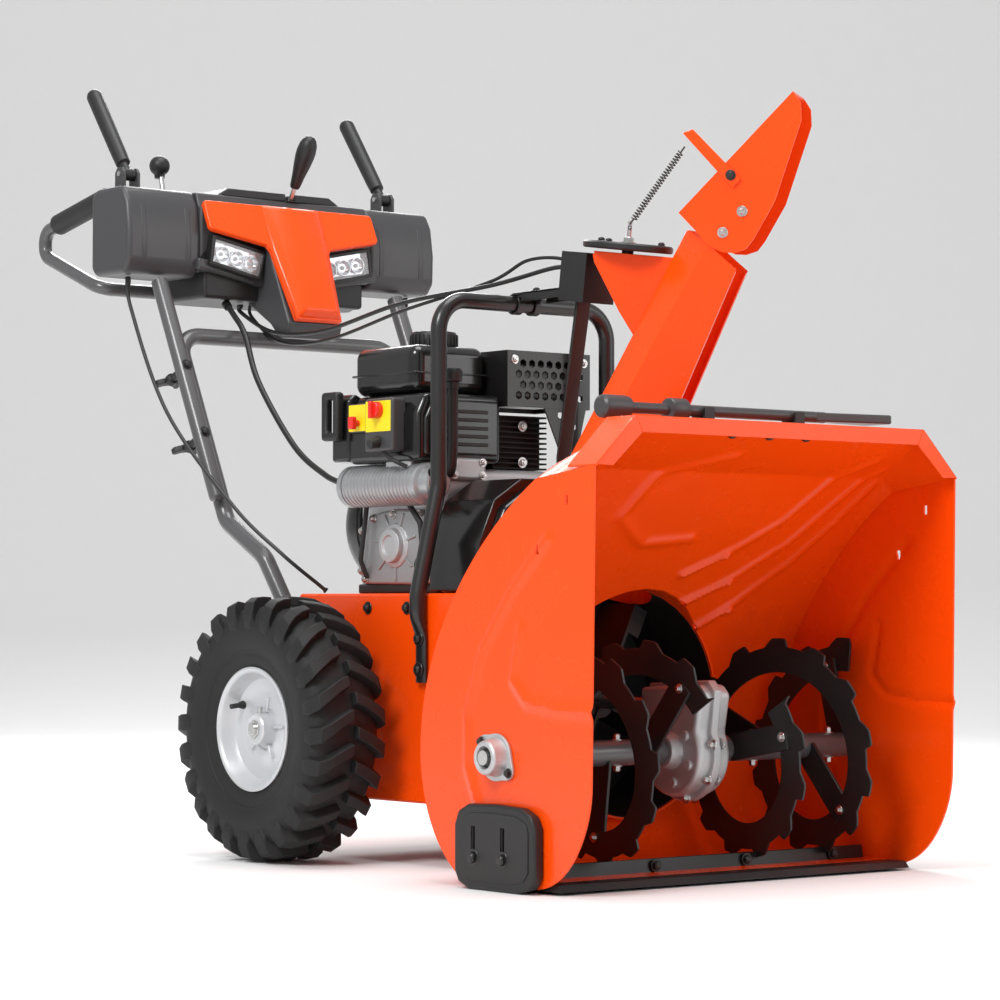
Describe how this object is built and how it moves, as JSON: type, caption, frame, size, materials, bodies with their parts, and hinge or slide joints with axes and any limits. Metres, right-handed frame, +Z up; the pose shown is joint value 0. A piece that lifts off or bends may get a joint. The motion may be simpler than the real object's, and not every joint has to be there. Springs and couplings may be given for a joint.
{
  "type": "two stage snowblower",
  "caption": "Walk-behind two stage snow thrower: wide intake housing with ribbon augers, turning discharge chute, engine, tyred wheels, and handles with a control console.",
  "frame": {"origin": "on the ground under the middle of the machine's box", "axes": "+Z up, -Y towards the intake, +Y towards the operator, -X to the operator's right"},
  "size_m": [0.684, 1.4372, 1.1556],
  "materials": {
    "orange": "gloss",
    "black_metal": "semi-gloss",
    "casting": "cast",
    "steel": "satin",
    "tyre": "matt",
    "silver": "satin",
    "rubber": "matt",
    "gunmetal": "gloss",
    "dark_grey": "satin",
    "black_plastic": "satin",
    "red": "gloss"
  },
  "bodies": {
    "chassis": {"side_plate_right": "orange", "side_plate_left": "orange", "housing_wrap": "orange", "impeller_drum": "orange", "auger_gearbox": "casting", "auger_belt": "rubber", "tractor_frame": "orange", "crankcase": "black_metal", "blower_shroud": "black_plastic", "recoil_housing": "black_plastic", "fuel_tank": "black_plastic", "muffler_guard": "black_metal", "belt_cover": "black_plastic", "guard_bar": "black_metal", "chute_support": "black_metal", "lower_handle": "gunmetal", "upper_handle_right": "gunmetal", "upper_handle_left": "gunmetal", "console_body": "dark_grey", "console_panel": "orange", "grip_tube": "gunmetal", "grip_right": "rubber", "grip_left": "rubber", "cable_auger_clutch": "rubber", "cable_chute": "rubber", "cable_drive_clutch": "rubber", "wire_harness": "rubber"},
    "augers": {"auger_right": "black_metal", "auger_left": "black_metal", "auger_shaft": "steel"},
    "fan": {"impeller_shaft": "steel", "impeller": "black_metal"},
    "crank": {"crankshaft": "steel"},
    "traction_plate": {"drive_plate": "steel"},
    "friction": {"friction_shaft": "steel"},
    "wheels": {"axle": "steel", "tyre_right": "tyre", "tyre_left": "tyre", "rim_right": "silver", "rim_left": "silver"},
    "chute_turning": {"chute": "orange", "chute_disc": "black_plastic", "deflector_spring": "steel"},
    "deflector_hood": {"deflector": "orange"},
    "auger_lever": {"lever_left": "black_plastic"},
    "drive_lever": {"lever_right": "black_plastic"},
    "speed_selector": {"speed_lever": "black_plastic"},
    "chute_control": {"chute_stick": "black_plastic"},
    "tank_cap": {"fuel_cap": "black_plastic"},
    "oil_cap": {"dipstick_cap": "black_plastic"},
    "starter_grip": {"recoil_grip": "black_plastic"},
    "key": {"stop_key": "red"},
    "choke": {"choke_knob": "black_plastic"},
    "skid_right": {"skid_shoe_right": "black_plastic"},
    "skid_left": {"skid_shoe_left": "black_plastic"},
    "knob_right_low": {"wing_knob_right_low": "black_plastic"},
    "knob_right_high": {"wing_knob_right_high": "black_plastic"},
    "knob_left_low": {"wing_knob_left_low": "black_plastic"},
    "knob_left_high": {"wing_knob_left_high": "black_plastic"},
    "tool": {"clean_out_tool": "black_plastic"}
  },
  "joints": [
    {"name": "auger_spin", "type": "hinge", "parent": "chassis", "child": "augers", "pos_m": [0, -0.53, 0.166], "axis": [1, 0, 0], "continuous": true},
    {"name": "impeller_spin", "type": "hinge", "parent": "chassis", "child": "fan", "pos_m": [0, -0.3, 0.225], "axis": [0, 1, 0], "continuous": true},
    {"name": "crank_spin", "type": "hinge", "parent": "chassis", "child": "crank", "pos_m": [0, -0.17, 0.472], "axis": [0, 1, 0], "continuous": true},
    {"name": "drive_plate_spin", "type": "hinge", "parent": "chassis", "child": "traction_plate", "pos_m": [0, -0.175, 0.225], "axis": [0, 1, 0], "continuous": true},
    {"name": "wheel_spin", "type": "hinge", "parent": "chassis", "child": "wheels", "pos_m": [0, 0.008, 0.184], "axis": [1, 0, 0], "continuous": true},
    {"name": "friction_spin", "type": "hinge", "parent": "chassis", "child": "friction", "pos_m": [0, -0.0964, 0.225], "axis": [1, 0, 0], "continuous": true},
    {"name": "chute_turn", "type": "hinge", "parent": "chassis", "child": "chute_turning", "pos_m": [0, -0.367, 0.5], "axis": [0, -0.1392, 0.9903], "range_deg": [-140, 60]},
    {"name": "deflector_tilt", "type": "hinge", "parent": "chute_turning", "child": "deflector_hood", "pos_m": [0.08678, -0.52118, 0.85399], "axis": [0.766, 0.6365, 0.0895], "range_deg": [0, 45], "stiffness_Nm_per_rad": 6, "springref_deg": -17.19},
    {"name": "auger_lever_press", "type": "hinge", "parent": "chassis", "child": "auger_lever", "pos_m": [0.241, 0.465, 1.01], "axis": [1, 0, 0], "range_deg": [-50, 0], "stiffness_Nm_per_rad": 1.5, "springref_deg": 22.92},
    {"name": "drive_lever_press", "type": "hinge", "parent": "chassis", "child": "drive_lever", "pos_m": [-0.241, 0.465, 1.01], "axis": [1, 0, 0], "range_deg": [-50, 0], "stiffness_Nm_per_rad": 1.5, "springref_deg": 22.92},
    {"name": "speed_select", "type": "hinge", "parent": "chassis", "child": "speed_selector", "pos_m": [0.02, 0.449, 0.915], "axis": [1, 0, 0], "range_deg": [-50, 0]},
    {"name": "chute_control_tilt", "type": "hinge", "parent": "chassis", "child": "chute_control", "pos_m": [-0.138, 0.505, 0.915], "axis": [1, 0, 0], "range_deg": [0, 32]},
    {"name": "fuel_cap_turn", "type": "hinge", "parent": "chassis", "child": "tank_cap", "pos_m": [-0.055, -0.057, 0.735], "axis": [0, 0, 1], "range_deg": [0, 120]},
    {"name": "oil_cap_turn", "type": "hinge", "parent": "chassis", "child": "oil_cap", "pos_m": [-0.113, -0.1755, 0.67], "axis": [0, 0, 1], "range_deg": [0, 180]},
    {"name": "starter_pull", "type": "slide", "parent": "chassis", "child": "starter_grip", "axis": [0, 1, 0], "range_m": [0, 0.3], "stiffness_N_per_m": 25, "springref_m": -0.1},
    {"name": "key_pull", "type": "slide", "parent": "chassis", "child": "key", "axis": [-1, 0, 0], "range_m": [0, 0.012]},
    {"name": "choke_turn", "type": "hinge", "parent": "chassis", "child": "choke", "pos_m": [-0.178, -0.08, 0.628], "axis": [-1, 0, 0], "range_deg": [0, 90]},
    {"name": "skid_right_height", "type": "slide", "parent": "chassis", "child": "skid_right", "axis": [0, 0, -1], "range_m": [0, 0.03]},
    {"name": "skid_left_height", "type": "slide", "parent": "chassis", "child": "skid_left", "axis": [0, 0, -1], "range_m": [0, 0.03]},
    {"name": "knob_right_low_turn", "type": "hinge", "parent": "chassis", "child": "knob_right_low", "pos_m": [-0.222, 0.3305, 0.58576], "axis": [0, 0.8993, -0.4373], "continuous": true},
    {"name": "knob_right_high_turn", "type": "hinge", "parent": "chassis", "child": "knob_right_high", "pos_m": [-0.222, 0.38013, 0.68784], "axis": [0, 0.8993, -0.4373], "continuous": true},
    {"name": "knob_left_low_turn", "type": "hinge", "parent": "chassis", "child": "knob_left_low", "pos_m": [0.222, 0.3305, 0.58576], "axis": [0, 0.8993, -0.4373], "continuous": true},
    {"name": "knob_left_high_turn", "type": "hinge", "parent": "chassis", "child": "knob_left_high", "pos_m": [0.222, 0.38013, 0.68784], "axis": [0, 0.8993, -0.4373], "continuous": true},
    {"name": "tool_lift", "type": "slide", "parent": "chassis", "child": "tool", "axis": [0, 0, 1], "range_m": [0, 0.08]}
  ],
  "couplings": [
    {"joint": "auger_spin", "follows": "impeller_spin", "ratio": 0.1},
    {"joint": "drive_plate_spin", "follows": "crank_spin", "ratio": 0.48571},
    {"joint": "friction_spin", "follows": "wheel_spin", "ratio": -2.3284}
  ]
}
